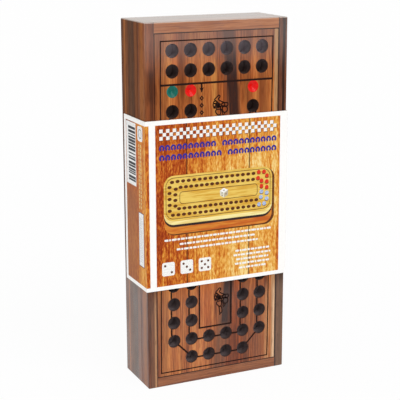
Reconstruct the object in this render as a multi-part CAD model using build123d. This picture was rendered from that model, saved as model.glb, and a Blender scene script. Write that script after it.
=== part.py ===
"""Wooden horse race peg game: a flat box standing on one end, wrapped in a folded card.

Millimetres. X runs across the box, Y from its front (-Y) to its back, and Z up along its
length. The origin is the middle of the end it stands on.
"""
from build123d import *
from math import radians, sqrt, tan
import os

# Box
BOX_WIDTH = 100.0
BOX_HEIGHT = 240.0
LID_THICKNESS = 12.0
TRAY_DEPTH = 28.0
EDGE_ROUND = 0.8  # sanded outer edges
SEAM_BEVEL = 0.25  # eased edges where the lid meets the tray

# Lid: a drilled board let into a frame of four strips
STILE_WIDTH = 6.5
RAIL_WIDTH = 7.0
LIP_HEIGHT = 3.0  # the board stands proud at the back and locates the lid in the tray
LIP_CLEARANCE = 0.3
LIP_BEVEL = 0.8
BOARD_BEVEL = 0.3  # eased front edges, which draw the frame line

# Tray
BACK_THICKNESS = 3.5
REBATE_WIDTH = 3.0  # how far the back panel is let into each wall
NOTCH_LENGTH = 28.0  # finger notch in the right wall, at its front edge
NOTCH_DEPTH = 5.5
NOTCH_SLOPE = 6.0  # length of each sloped end

# Race course
HOLE_DIAMETER = 9.0
HOLE_DEPTH = 10.0
COLUMN_PITCH = 12.6
ROW_PITCH = 12.75
HOLE_MARGIN = 10.5  # least distance from the board's edge to a hole's centre
START_ROWS = 2  # full rows of the start block, above the row of coloured marks
SINGLE_FILE_ROWS = 1  # rows of the right lane that have one hole between its two columns

# Coloured marks: enamel in the cone that a drill point leaves
MARK_DIAMETER = 7.8
DRILL_POINT_ANGLE = 118.0
ENAMEL_THICKNESS = 0.35

# Pegs and die, lying loose on the tray's lower end
PEG_DIAMETER = 8.2
PEG_NECK_DIAMETER = 7.4
PEG_HEAD_HEIGHT = 6.0
PEG_LENGTH = 18.0
PEG_BEVEL = 0.9
PEGS_PER_COLOUR = 6
DIE_SIZE = 12.0
DIE_ROUND = 1.4
PIP_DIAMETER = 2.2
PIP_SPACING = 3.2
LOOSE_GAP = 0.3  # between loose pieces and what they lie on or beside

# Folded leaflet, standing against the back panel
LEAFLET_WIDTH = 76.0
LEAFLET_HEIGHT = 108.0
LEAF_THICKNESS = 0.35
LEAFLET_THICKNESS = 1.4

# Card wrap
CARD_THICKNESS = 0.5
CARD_GAP = 0.3  # between the card and the wood
CARD_HEIGHT = 111.5
CARD_RAISE = 3.25  # how far its middle stands above the box's middle
FLAP_BARE = 5.0  # depth of the tray that each flap leaves uncovered at the back

# Places that follow from the sizes
FRONT_Y = -(LID_THICKNESS + TRAY_DEPTH) / 2
SEAM_Y = FRONT_Y + LID_THICKNESS
BACK_Y = SEAM_Y + TRAY_DEPTH
MIDDLE_Z = BOX_HEIGHT / 2
BOARD_WIDTH = BOX_WIDTH - 2 * STILE_WIDTH
BOARD_HEIGHT = BOX_HEIGHT - 2 * RAIL_WIDTH
LIP_Y = SEAM_Y + LIP_HEIGHT
CAVITY_WIDTH = BOARD_WIDTH + 2 * LIP_CLEARANCE
CAVITY_HEIGHT = BOARD_HEIGHT + 2 * LIP_CLEARANCE
CAVITY_BOTTOM_Z = (BOX_HEIGHT - CAVITY_HEIGHT) / 2
CAVITY_BACK_Y = BACK_Y - BACK_THICKNESS
COLUMNS = int((BOARD_WIDTH - 2 * HOLE_MARGIN) // COLUMN_PITCH) + 1
ROWS = int((BOARD_HEIGHT - 2 * HOLE_MARGIN) // ROW_PITCH) + 1
LANE_WIDTH = 2  # columns in each lane
MARK_ROW = START_ROWS
PEG_ROOM = CAVITY_WIDTH - DIE_SIZE - 2 * LOOSE_GAP
PEG_PILES = int(PEG_ROOM // (PEG_LENGTH + LOOSE_GAP))


def block(x_range, y_range, z_range):
    """A box between two limits along each axis."""
    low, high = zip(x_range, y_range, z_range)
    size = [b - a for a, b in zip(low, high)]
    middle = [(a + b) / 2 for a, b in zip(low, high)]
    return Pos(*middle) * Box(*size)


def about(middle, width):
    """The two limits of a stretch of a given width about its middle."""
    return (middle - width / 2, middle + width / 2)


def sanded_slab(front_y, back_y, seam_y):
    """Full width and height, with round outer edges and small bevels at the seam."""
    slab = block(about(0, BOX_WIDTH), (front_y, back_y), (0, BOX_HEIGHT))
    at_seam = slab.faces().sort_by(Axis.Y)[0 if seam_y == front_y else -1].edges()
    outer = slab.edges() - at_seam
    slab = fillet(outer, EDGE_ROUND)
    seam_face = slab.faces().sort_by(Axis.Y)[0 if seam_y == front_y else -1]
    return chamfer(seam_face.edges(), SEAM_BEVEL)


def lid_frame():
    """Stiles run the full height, and the rails fit between them."""
    slab = sanded_slab(FRONT_Y, SEAM_Y, SEAM_Y)
    depth = (FRONT_Y, SEAM_Y)
    left_x, right_x = about(0, BOARD_WIDTH)
    bottom_z, top_z = about(MIDDLE_Z, BOARD_HEIGHT)
    outer_x = BOX_WIDTH / 2
    return {
        "lid_stile_left": slab & block((-outer_x, left_x), depth, (0, BOX_HEIGHT)),
        "lid_stile_right": slab & block((right_x, outer_x), depth, (0, BOX_HEIGHT)),
        "lid_rail_top": slab & block((left_x, right_x), depth, (top_z, BOX_HEIGHT)),
        "lid_rail_bottom": slab & block((left_x, right_x), depth, (0, bottom_z)),
    }


def column_x(column):
    """Middle of a column, counted from the left; a half lies between two columns."""
    return (column - (COLUMNS - 1) / 2) * COLUMN_PITCH


def row_z(row):
    """Middle of a row, counted down from the top."""
    return MIDDLE_Z + ((ROWS - 1) / 2 - row) * ROW_PITCH


def course_holes():
    """Column and row of every peg hole: start block, two lanes and the turn at the foot."""
    single_file = COLUMNS - 1 - LANE_WIDTH / 2 + 0.5
    left_lane = list(range(LANE_WIDTH))
    right_lane = [COLUMNS - 1 - column for column in left_lane]
    turn_row = ROWS - 1
    holes = [(column, row) for row in range(START_ROWS) for column in range(COLUMNS)]
    first_narrow = MARK_ROW + 1
    first_wide = first_narrow + SINGLE_FILE_ROWS
    holes += [(column, row) for row in range(first_narrow, turn_row) for column in left_lane]
    holes += [(single_file, row) for row in range(first_narrow, first_wide)]
    holes += [(column, row) for row in range(first_wide, turn_row) for column in right_lane]
    middle = range(LANE_WIDTH, COLUMNS - LANE_WIDTH)
    holes += [(column, turn_row - 1) for column in middle]
    holes += [(column, turn_row) for column in range(1, COLUMNS - 1)]
    return holes


def course_marks():
    """Column of each coloured mark: two on the left lane, one on the single file."""
    single_file = COLUMNS - 1 - LANE_WIDTH / 2 + 0.5
    return {"start_mark_green": 0, "start_mark_red": 1, "finish_mark_red": single_file}


def board_place(column, row):
    """A point of the board's face, with the local Z axis going into the wood."""
    return Pos(column_x(column), FRONT_Y, row_z(row)) * Rot(-90, 0, 0)


def board_panel():
    """The board: eased front edges, a bevelled lip behind, blind holes and dimples."""
    board = block(
        about(0, BOARD_WIDTH), (FRONT_Y, LIP_Y), about(MIDDLE_Z, BOARD_HEIGHT)
    )
    board = chamfer(board.faces().sort_by(Axis.Y)[0].edges(), BOARD_BEVEL)
    board = chamfer(board.faces().sort_by(Axis.Y)[-1].edges(), LIP_BEVEL)
    drill = Cylinder(
        HOLE_DIAMETER / 2, HOLE_DEPTH, align=(Align.CENTER, Align.CENTER, Align.MIN)
    )
    cuts = [board_place(*hole) * drill for hole in course_holes()]
    dimple = drill_point(MARK_DIAMETER)
    cuts += [board_place(column, MARK_ROW) * dimple for column in course_marks().values()]
    return board - cuts


def drill_point(diameter):
    """The cone that a drill's point leaves, from its mouth at the origin along Z."""
    radius = diameter / 2
    depth = radius / tan(radians(DRILL_POINT_ANGLE / 2))
    cone = Polyline((0, 0), (radius, 0), (0, depth), close=True)
    return revolve(Plane.XZ * make_face(cone), Axis.Z)


def enamel_mark(column):
    """A coat of enamel that lines a dimple."""
    coat = drill_point(MARK_DIAMETER) - drill_point(MARK_DIAMETER - 2 * ENAMEL_THICKNESS)
    return board_place(column, MARK_ROW) * coat


def back_panel_block():
    """The thin back, let into a rebate all round and flush with the walls."""
    width = CAVITY_WIDTH + 2 * REBATE_WIDTH
    height = CAVITY_HEIGHT + 2 * REBATE_WIDTH
    return block(about(0, width), (CAVITY_BACK_Y, BACK_Y), about(MIDDLE_Z, height))


def finger_notch():
    """A sloped notch through the right wall, midway up its front edge."""
    mouth, floor = NOTCH_LENGTH / 2, NOTCH_LENGTH / 2 - NOTCH_SLOPE
    outline = Polyline(
        (SEAM_Y, MIDDLE_Z - mouth),
        (SEAM_Y + NOTCH_DEPTH, MIDDLE_Z - floor),
        (SEAM_Y + NOTCH_DEPTH, MIDDLE_Z + floor),
        (SEAM_Y, MIDDLE_Z + mouth),
        close=True,
    )
    return extrude(Plane.YZ * make_face(outline), BOX_WIDTH / 2)


def tray():
    """Two full-height side walls, two ends between them, and the let-in back."""
    slab = sanded_slab(SEAM_Y, BACK_Y, SEAM_Y)
    back = back_panel_block()
    depth = (SEAM_Y, BACK_Y)
    left_x, right_x = about(0, CAVITY_WIDTH)
    top_z = CAVITY_BOTTOM_Z + CAVITY_HEIGHT
    outer_x = BOX_WIDTH / 2
    walls = slab - back
    right = walls & block((right_x, outer_x), depth, (0, BOX_HEIGHT))
    across = (left_x, right_x)
    return {
        "tray_side_left": walls & block((-outer_x, left_x), depth, (0, BOX_HEIGHT)),
        "tray_side_right": right - finger_notch(),
        "tray_end_top": walls & block(across, depth, (top_z, BOX_HEIGHT)),
        "tray_end_bottom": walls & block(across, depth, (0, CAVITY_BOTTOM_Z)),
        "tray_back_panel": back,
    }


def peg():
    """A turned peg along X: a bevelled foot, a neck and a bevelled head."""
    head = PEG_DIAMETER / 2
    neck = PEG_NECK_DIAMETER / 2
    shoulder_x = PEG_LENGTH - PEG_HEAD_HEIGHT
    profile = Polyline(
        (0, 0),
        (0, neck - PEG_BEVEL),
        (PEG_BEVEL, neck),
        (shoulder_x, neck),
        (shoulder_x, head),
        (PEG_LENGTH - PEG_BEVEL, head),
        (PEG_LENGTH, head - PEG_BEVEL),
        (PEG_LENGTH, 0),
        close=True,
    )
    return revolve(make_face(profile), Axis.X)


def peg_seat(layer_place):
    """Middle of a lying peg's end: two lie side by side, and the third in their groove."""
    pair, place = divmod(layer_place, 3)
    in_groove = place == 2
    step = PEG_DIAMETER + LOOSE_GAP
    rise = step * sqrt(0.75)
    first = LOOSE_GAP + PEG_DIAMETER / 2
    y = LIP_Y + first + (step / 2 if in_groove else place * step)
    z = CAVITY_BOTTOM_Z + first + (2 * pair + in_groove) * rise
    return y, z


def pegs():
    """Piles of lying pegs, side by side across the tray's lower end, beside the die."""
    shape = peg()
    first_x = -CAVITY_WIDTH / 2 + DIE_SIZE + 2 * LOOSE_GAP
    named = {}
    for index in range(2 * PEGS_PER_COLOUR):
        layer_place, pile = divmod(index, PEG_PILES)
        y, z = peg_seat(layer_place)
        x = first_x + pile * (PEG_LENGTH + LOOSE_GAP)
        colour = "red" if index < PEGS_PER_COLOUR else "blue"
        named[f"peg_{colour}_{index % PEGS_PER_COLOUR + 1}"] = Pos(x, y, z) * shape
    return named


def pips(count):
    """Places of a die face's pips, as steps of the pip spacing from its middle."""
    pair = [(-1, -1), (1, 1)]
    other = [(-1, 1), (1, -1)]
    sides = [(-1, 0), (1, 0)]
    layouts = {2: pair, 3: pair, 4: pair + other, 5: pair + other, 6: pair + other + sides}
    return layouts.get(count, []) + ([(0, 0)] if count % 2 else [])


def die():
    """A round-cornered die with drilled pips; opposite faces add up to seven."""
    cube = fillet(Box(DIE_SIZE, DIE_SIZE, DIE_SIZE).edges(), DIE_ROUND)
    dish = Pos(0, 0, DIE_SIZE / 2) * Rot(180, 0, 0) * drill_point(PIP_DIAMETER)
    turns = {1: (0, 0), 6: (180, 0), 2: (90, 0), 5: (-90, 0), 3: (0, 90), 4: (0, -90)}
    dishes = [
        Rot(*turn, 0) * Pos(across * PIP_SPACING, along * PIP_SPACING, 0) * dish
        for count, turn in turns.items()
        for across, along in pips(count)
    ]
    reach = LOOSE_GAP + DIE_SIZE / 2
    seat = Pos(reach - CAVITY_WIDTH / 2, LIP_Y + reach, CAVITY_BOTTOM_Z + reach)
    return seat * (cube - dishes)


def rules_leaflet():
    """A sheet folded once: two leaves joined by a round fold at the left."""
    fold = LEAFLET_THICKNESS / 2
    inner = fold - LEAF_THICKNESS
    straight = LEAFLET_WIDTH - fold
    outside = SlotCenterToCenter(2 * straight, 2 * fold)
    inside = SlotCenterToCenter(2 * straight, 2 * inner)
    left_half = Pos(-LEAFLET_WIDTH / 2, 0) * Rectangle(LEAFLET_WIDTH, LEAFLET_THICKNESS)
    profile = (outside - inside) & left_half
    leaves = extrude(profile, LEAFLET_HEIGHT)
    free_edge_x = LEAFLET_WIDTH / 2
    middle_y = CAVITY_BACK_Y - LOOSE_GAP - fold
    return Pos(free_edge_x, middle_y, CAVITY_BOTTOM_Z + LOOSE_GAP) * leaves


def card():
    """A printed card over the front, with a flap folded back along each side."""
    inner_x = BOX_WIDTH / 2 + CARD_GAP
    outer_x = inner_x + CARD_THICKNESS
    inner_y = FRONT_Y - CARD_GAP
    height = about(MIDDLE_Z + CARD_RAISE, CARD_HEIGHT)
    front = block((-outer_x, outer_x), (inner_y - CARD_THICKNESS, inner_y), height)
    corners = front.faces().sort_by(Axis.Y)[0].edges().filter_by(Axis.Z)
    front = fillet(corners, CARD_THICKNESS * 0.9)
    flap_y = (inner_y, BACK_Y - FLAP_BARE)
    return {
        "card_front": front,
        "card_flap_left": block((-outer_x, -inner_x), flap_y, height),
        "card_flap_right": block((inner_x, outer_x), flap_y, height),
    }


def all_parts():
    """Every piece under its own name."""
    parts = {"board_panel": board_panel()}
    parts |= lid_frame()
    parts |= {name: enamel_mark(column) for name, column in course_marks().items()}
    parts |= tray()
    parts |= pegs()
    parts["die"] = die()
    parts["rules_leaflet"] = rules_leaflet()
    parts |= card()
    return parts


os.makedirs("parts", exist_ok=True)
for name, shape in all_parts().items():
    export_step(shape, f"parts/{name}.step")
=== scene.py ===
"""Looks for a wooden horse race peg game that stands on one end in a folded printed card.

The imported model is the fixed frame. Its solids stay where they are and get lacquered wood,
enamel and card finishes. The burnt lines of the course and the inks of the print are thin
slabs laid on the faces that carry them. Metres throughout, but for tables that say otherwise;
X runs across the box, Y from front to back and Z up its length.
"""
from __future__ import annotations

import logging
import math
from collections.abc import Iterable, Sequence
from dataclasses import dataclass, field, replace
from enum import Enum

import bpy
import numpy as np
from mathutils import Matrix, Vector


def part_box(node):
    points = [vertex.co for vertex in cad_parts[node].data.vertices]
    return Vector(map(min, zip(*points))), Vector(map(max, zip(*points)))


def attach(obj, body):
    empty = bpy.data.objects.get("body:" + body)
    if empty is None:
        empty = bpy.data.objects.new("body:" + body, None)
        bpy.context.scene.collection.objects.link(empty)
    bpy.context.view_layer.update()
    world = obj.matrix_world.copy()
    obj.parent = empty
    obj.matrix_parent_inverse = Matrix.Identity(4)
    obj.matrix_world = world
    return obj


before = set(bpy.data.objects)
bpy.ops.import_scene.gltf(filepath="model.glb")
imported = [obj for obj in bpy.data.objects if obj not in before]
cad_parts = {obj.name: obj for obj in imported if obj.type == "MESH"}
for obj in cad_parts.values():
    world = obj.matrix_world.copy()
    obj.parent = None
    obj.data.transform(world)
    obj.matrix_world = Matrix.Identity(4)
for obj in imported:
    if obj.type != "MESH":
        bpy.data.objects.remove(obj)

Colour = tuple[float, float, float]
Spot = tuple[float, float]
Stops = Sequence[tuple[float, Colour]]
Link = "float | Colour | bpy.types.NodeSocket | Value"

MM = 0.001
WHITE: Colour = (1.0, 1.0, 1.0)
log = logging.getLogger("horse_race_game")


def mm(*sizes: float) -> tuple[float, ...]:
    """Sizes in millimetres, as metres."""
    return tuple(size * MM for size in sizes)


class Axis(Enum):
    """A direction in the part's frame, by its place in a point."""

    X = 0
    Y = 1
    Z = 2


X, Y, Z = Axis


class Value:
    """A number that changes over a surface; its operators add Math nodes."""

    def __init__(self, sheet: Nodes, socket: bpy.types.NodeSocket) -> None:
        """Wraps an output socket of one node tree."""
        self.sheet = sheet
        self.socket = socket

    def _with(self, operation: str, *others: Link, clamp: bool = False) -> Value:
        """Adds one Math node that starts from this value."""
        return self.sheet.math(operation, self, *others, clamp=clamp)

    def __add__(self, other: Link) -> Value:
        """This value plus another."""
        return self._with("ADD", other)

    def __sub__(self, other: Link) -> Value:
        """This value less another."""
        return self._with("SUBTRACT", other)

    def __rsub__(self, other: Link) -> Value:
        """Another number less this value."""
        return self.sheet.math("SUBTRACT", other, self)

    def __mul__(self, other: Link) -> Value:
        """This value times another."""
        return self._with("MULTIPLY", other)

    def __abs__(self) -> Value:
        """This value without its sign."""
        return self._with("ABSOLUTE")

    def __lt__(self, other: Link) -> Value:
        """One where this value is the smaller, otherwise zero."""
        return self._with("LESS_THAN", other)

    def __and__(self, other: Value) -> Value:
        """Both masks at once: the smaller of the two values."""
        return self._with("MINIMUM", other)

    def __or__(self, other: Value) -> Value:
        """Either mask: the larger of the two values."""
        return self._with("MAXIMUM", other)

    __radd__ = __add__
    __rmul__ = __mul__

    def clamped(self) -> Value:
        """This value kept between zero and one."""
        return self._with("ADD", 0.0, clamp=True)

    def rise(self, low: float, high: float) -> Value:
        """A smooth step: 3tt - 2ttt, where t runs from zero to one between two limits.

        Args:
            low: where the step is zero.
            high: where it is one; it may also be the lower of the two.

        Returns:
            The step.
        """
        settings = {"interpolation_type": "SMOOTHSTEP"}
        inputs = {"Value": self, "From Min": low, "From Max": high}
        node = self.sheet.node("ShaderNodeMapRange", settings, inputs)
        return Value(self.sheet, node.outputs["Result"])

    def within(self, low: float, high: float, soft: float) -> Value:
        """A mask that is one between two limits, with edges of a given softness."""
        return self.rise(low - soft, low + soft) & self.rise(high + soft, high - soft)


class Nodes:
    """Fills one node tree."""

    MIX_FACTOR, MIX_BASE, MIX_OVER, MIX_RESULT = 0, 6, 7, 2
    SEED_STEP = (3.7, 5.3, 7.9)

    def __init__(self, tree: bpy.types.NodeTree) -> None:
        """Empties the tree.

        Args:
            tree: the node tree to fill.
        """
        self.tree = tree
        self.tree.nodes.clear()
        self._place: list[Value] | None = None

    def node(
        self, kind: str, settings: dict | None = None, inputs: dict | None = None
    ) -> bpy.types.Node:
        """Adds a node.

        Args:
            kind: the node's type.
            settings: its properties, set first; "stops" fills a colour ramp.
            inputs: numbers, colours or links, by the name or place of the socket.

        Returns:
            The new node.
        """
        node = self.tree.nodes.new(kind)
        for key, value in (settings or {}).items():
            if key == "stops":
                self._fill_ramp(node.color_ramp, value)
            else:
                setattr(node, key, value)
        for key, value in (inputs or {}).items():
            self.feed(node.inputs[key], value)
        return node

    @staticmethod
    def _fill_ramp(ramp: bpy.types.ColorRamp, stops: Stops) -> None:
        """Sets a ramp's stops, of which a new ramp already holds two.

        Args:
            ramp: the colour ramp.
            stops: places from zero to one, each with its colour.
        """
        while len(ramp.elements) < len(stops):
            ramp.elements.new(1.0)
        for element, (position, colour) in zip(ramp.elements, stops):
            element.position = position
            element.color = (*colour, 1.0)

    def feed(self, socket: bpy.types.NodeSocket, value: Link) -> None:
        """Links a value or socket to an input, or sets a plain number or colour on it.

        Args:
            socket: the input.
            value: what it gets.
        """
        if isinstance(value, Value):
            self.tree.links.new(value.socket, socket)
        elif isinstance(value, bpy.types.NodeSocket):
            self.tree.links.new(value, socket)
        elif isinstance(value, tuple) and len(socket.default_value) == 4:
            socket.default_value = (*value, 1.0)
        else:
            socket.default_value = value

    def math(self, operation: str, *values: Link, clamp: bool = False) -> Value:
        """Adds one Math node.

        Args:
            operation: what it does.
            values: up to three numbers or values.
            clamp: whether the result stays between zero and one.

        Returns:
            The result.
        """
        settings = {"operation": operation, "use_clamp": clamp}
        node = self.node("ShaderNodeMath", settings, dict(enumerate(values)))
        return Value(self, node.outputs[0])

    def place(self) -> list[Value]:
        """Reads the point's place in the part's frame, once for each tree.

        Returns:
            Its X, Y and Z in metres.
        """
        if self._place is None:
            point = self.node("ShaderNodeTexCoord").outputs["Object"]
            split = self.node("ShaderNodeSeparateXYZ", inputs={"Vector": point})
            self._place = [Value(self, split.outputs[axis.value]) for axis in Axis]
        return self._place

    def along(self, axis: Axis) -> Value:
        """The point's place along one axis."""
        return self.place()[axis.value]

    def noise(
        self, per_metre: Colour, seed: float, detail: float = 2.0, roughness: float = 0.5
    ) -> Value:
        """Smooth noise from zero to one.

        Args:
            per_metre: its density along X, Y and Z.
            seed: where in the noise this piece lies.
            detail: how many finer layers it has.
            roughness: how strong they are.

        Returns:
            The noise.
        """
        point = self.node("ShaderNodeTexCoord").outputs["Object"]
        settings = {"operation": "MULTIPLY_ADD"}
        shift = tuple(seed * step for step in self.SEED_STEP)
        scaled = self.node("ShaderNodeVectorMath", settings, {0: point, 1: per_metre, 2: shift})
        inputs = {
            "Vector": scaled.outputs[0], "Scale": 1.0, "Detail": detail, "Roughness": roughness,
        }
        noise = self.node("ShaderNodeTexNoise", {"noise_dimensions": "3D"}, inputs)
        return Value(self, noise.outputs[0])

    def ramp(self, value: Value, stops: Stops) -> bpy.types.NodeSocket:
        """A colour read off a value through a row of colour stops."""
        node = self.node("ShaderNodeValToRGB", {"stops": stops}, {"Fac": value})
        return node.outputs["Color"]

    def mix(self, mask: Link, base: Link, over: Link, blend: str = "MIX") -> bpy.types.NodeSocket:
        """Lays one colour over another.

        Args:
            mask: how much of the upper colour shows.
            base: the lower colour.
            over: the upper colour.
            blend: how the two are mixed.

        Returns:
            The mixed colour.
        """
        settings = {"data_type": "RGBA", "blend_type": blend}
        inputs = {self.MIX_FACTOR: mask, self.MIX_BASE: base, self.MIX_OVER: over}
        return self.node("ShaderNodeMix", settings, inputs).outputs[self.MIX_RESULT]

    def relief(self, height: Value, depth: float, strength: float = 1.0) -> bpy.types.NodeSocket:
        """A normal for a surface that rises with a value, by up to a depth in metres."""
        inputs = {"Height": height, "Distance": depth, "Strength": strength}
        return self.node("ShaderNodeBump", inputs=inputs).outputs["Normal"]

    def seen(self) -> Value:
        """Tells rays that show the surroundings from rays that only light the object.

        Returns:
            One for camera, gloss and glass rays, otherwise zero.
        """
        rays = self.node("ShaderNodeLightPath").outputs
        names = ("Is Camera Ray", "Is Glossy Ray", "Is Transmission Ray")
        camera, glossy, through = (Value(self, rays[name]) for name in names)
        return camera | glossy | through


class Shader(Nodes):
    """Builds one material from nodes."""

    def __init__(self, name: str) -> None:
        """Starts a material that holds only its output and one Principled shader.

        Args:
            name: the material's name.
        """
        self.material = bpy.data.materials.new(name)
        self.material.use_nodes = True
        super().__init__(self.material.node_tree)
        self.output = self.node("ShaderNodeOutputMaterial")
        self.surface = self.node("ShaderNodeBsdfPrincipled")
        self.feed(self.output.inputs["Surface"], self.surface.outputs["BSDF"])

    def finish(self, **sockets: Link) -> bpy.types.Material:
        """Sets the Principled shader's sockets and ends the build.

        Args:
            sockets: what each socket gets, its name written with underscores.

        Returns:
            The material.
        """
        for name, value in sockets.items():
            self.feed(self.surface.inputs[name.replace("_", " ")], value)
        return self.material


@dataclass(frozen=True)
class Zone:
    """A stretch along one axis, over which a share grows from nothing to its full size."""

    axis: Axis
    start: float
    full: float
    share: float = 1.0
    only: Zone | None = None

    def mask(self, shader: Shader) -> Value:
        """The zone's share at each point, kept to another zone if one is named."""
        grown = shader.along(self.axis).rise(self.start, self.full) * self.share
        return grown * self.only.mask(shader) if self.only else grown


@dataclass(frozen=True)
class Stripe:
    """A streak of differently coloured wood along the grain; its sizes are in millimetres."""

    axis: Axis
    middle: float
    width: float
    colour: Colour
    strength: float = 0.9
    wander: float = 1.2
    soft: float = 0.8
    over: Zone | None = None
    bend: float = 0.0


@dataclass(frozen=True)
class Grain:
    """Noise drawn out along the grain: how dense it is per metre, and which cut it takes."""

    across: float
    along: float
    cut: int
    detail: float
    roughness: float = 0.5


@dataclass(frozen=True)
class WoodFinish:
    """Streaky reddish hardwood, with a gloss that changes along a piece."""

    name: str
    dark: Colour
    mid: Colour
    pale: Colour
    grain: Axis = Z
    seed: float = 0.0
    contrast: float = 1.0
    sheen: float = 0.01
    gloss: tuple[Zone, ...] = ()
    raw: tuple[Zone, ...] = ()
    stripes: tuple[Stripe, ...] = ()
    joints: tuple[tuple[Axis, float], ...] = ()
    bored: tuple[float, float] | None = None
    # Zones where a pale grey is painted in the holes as reflection.
    dust: tuple[Zone, ...] = ()

    FIGURE, STREAK = Grain(48.0, 5.0, 0, 2.0), Grain(290.0, 9.0, 1, 4.0, 0.62)
    FIBRE, PORE = Grain(1500.0, 60.0, 2, 2.0, 0.6), Grain(2600.0, 120.0, 3, 1.0)
    # The first grain on the line below streaks the top end's painted reflection.
    SCUFF, SWAY = Grain(420.0, 150.0, 4, 3.0), Grain(0.0, 16.0, 5, 3.0)
    FRAY, FLUSH = Grain(700.0, 14.0, 6, 3.0, 0.6), Grain(60.0, 7.0, 7, 2.0)
    VEIN = Grain(190.0, 5.0, 8, 3.0)
    CLOUD, CLOUD_CUT = (70.0, 70.0, 40.0), 9
    FIGURE_SHARE, STREAK_SHARE, FIBRE_SHARE = 1.2, 1.9, 1.5
    TONE_STOPS = (0.10, 0.46, 0.90)
    BLUSH = (1.0, 0.66, 0.52)
    BLUSH_EDGES, BLUSH_SHARE = (0.46, 0.64), 0.6
    VEIN_EDGES, VEIN_SHARE = (0.016, 0.002), 0.5
    PORE_EDGES, PORE_SHARE = (0.58, 0.68), 0.5
    PORE_ROUGH, BARE_ROUGH = 0.2, 0.3
    # The top end's painted reflection: the wood is mixed towards a pale grey in streaks, and its
    # coat is raised.
    SCUFF_SHARE, WORN_SHARE = 0.3, 0.58
    SCUFF_DULL, WORN_SHINE = 0.12, 0.74
    PLANED = ((0.2, (0.30, 0.155, 0.075)), (0.75, (0.52, 0.33, 0.18)))
    # Painted shade inside the holes, and the pale grey painted over it as reflection.
    BORE_WOOD, DUSTY_BORE = (0.15, 0.10, 0.09), (0.60, 0.54, 0.58)
    # The top end, and the pale grey painted on it as a reflection.
    TOP_END, WORN_WOOD = Zone(Z, *mm(239.3, 239.7)), (0.40, 0.31, 0.25)
    # One dark colour serves for the joint lines and for the painted shade at the holes' mouths.
    JOINT_LINE, JOINT_EDGES, JOINT_SHARE = (0.030, 0.012, 0.009), mm(0.5, 0.2), 0.9
    BORE_EDGE, MOUTH_DEPTH, MOUTH_SHARE = 0.1 * MM, 2 * MM, 0.8
    BEND_MIDDLE = 145 * MM

    def _layer(self, shader: Shader, grain: Grain) -> Value:
        """One noise of this wood, drawn out along its own grain."""
        density = tuple(grain.along if axis is self.grain else grain.across for axis in Axis)
        return shader.noise(density, self.seed + grain.cut, grain.detail, grain.roughness)

    def _stripe_mask(self, shader: Shader, stripe: Stripe) -> Value:
        """Where a stripe lies: it wanders along the grain, and may bend in a wide parabola.

        Args:
            shader: the material being built.
            stripe: the stripe.

        Returns:
            How strongly it shows: a soft step on the distance from its wandering middle.
        """
        middle, width, wander, soft = mm(stripe.middle, stripe.width, stripe.wander, stripe.soft)
        drift = (self._layer(shader, self.SWAY) - 0.5) * (4 * wander)
        if stripe.bend:
            along = shader.along(self.grain) - self.BEND_MIDDLE
            drift = drift + along * along * stripe.bend
        offset = abs(shader.along(stripe.axis) - middle + drift)
        ragged = offset + (self._layer(shader, self.FRAY) - 0.5) * (4 * soft)
        mask = ragged.rise(width / 2 + soft, width / 2 - soft) * stripe.strength
        return mask * stripe.over.mask(shader) if stripe.over else mask

    def _cloudy(self, shader: Shader, zones: Sequence[Zone]) -> Value | float:
        """Adds zones up, a little uneven.

        Args:
            shader: the material being built.
            zones: the zones, if there are any.

        Returns:
            Their sum, from zero to one.
        """
        if not zones:
            return 0.0
        patches = shader.noise(self.CLOUD, self.seed + self.CLOUD_CUT, 3.0) * 0.9 + 0.55
        masks = [zone.mask(shader) * patches for zone in zones]
        return sum(masks[1:], masks[0]).clamped()

    def _figured(self, shader: Shader, tone: Value, pores: Value) -> bpy.types.NodeSocket:
        """Colours the wood: its tone, redder patches, stripes, dark veins and pores.

        Args:
            shader: the material being built.
            tone: how pale the wood is.
            pores: where its pores are.

        Returns:
            The colour.
        """
        stops = list(zip(self.TONE_STOPS, (self.dark, self.mid, self.pale)))
        colour = shader.ramp(tone, stops)
        flushed = self._layer(shader, self.FLUSH).rise(*self.BLUSH_EDGES)
        colour = shader.mix(flushed * self.BLUSH_SHARE, colour, self.BLUSH, "MULTIPLY")
        for stripe in self.stripes:
            colour = shader.mix(self._stripe_mask(shader, stripe), colour, stripe.colour)
        vein = abs(self._layer(shader, self.VEIN) - 0.5).rise(*self.VEIN_EDGES)
        colour = shader.mix(vein * self.VEIN_SHARE, colour, self.dark)
        return shader.mix(pores * self.PORE_SHARE, colour, self.dark)

    def _bore(self, shader: Shader) -> tuple[Value, bpy.types.NodeSocket]:
        """Colours the drilled holes inside: dark grey painted shade, a pale grey painted over it as
        reflection in places, and painted shade darkest at the mouth.

        Args:
            shader: the material being built.

        Returns:
            Where the holes' insides are, and their colour.
        """
        near, far = self.bored
        depth = shader.along(Y)
        inside = depth.within(near, far, soft=self.BORE_EDGE)
        # Painted shade, darkest at the mouth and fading to nothing near the bottom.
        mouth = depth.rise(far - self.MOUTH_DEPTH, near) * self.MOUTH_SHARE
        # Painted shade in the holes, turning to a painted grey reflection in the zones.
        bore = shader.mix(self._cloudy(shader, self.dust), self.BORE_WOOD, self.DUSTY_BORE)
        return inside, shader.mix(mouth, bore, self.JOINT_LINE)

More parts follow.
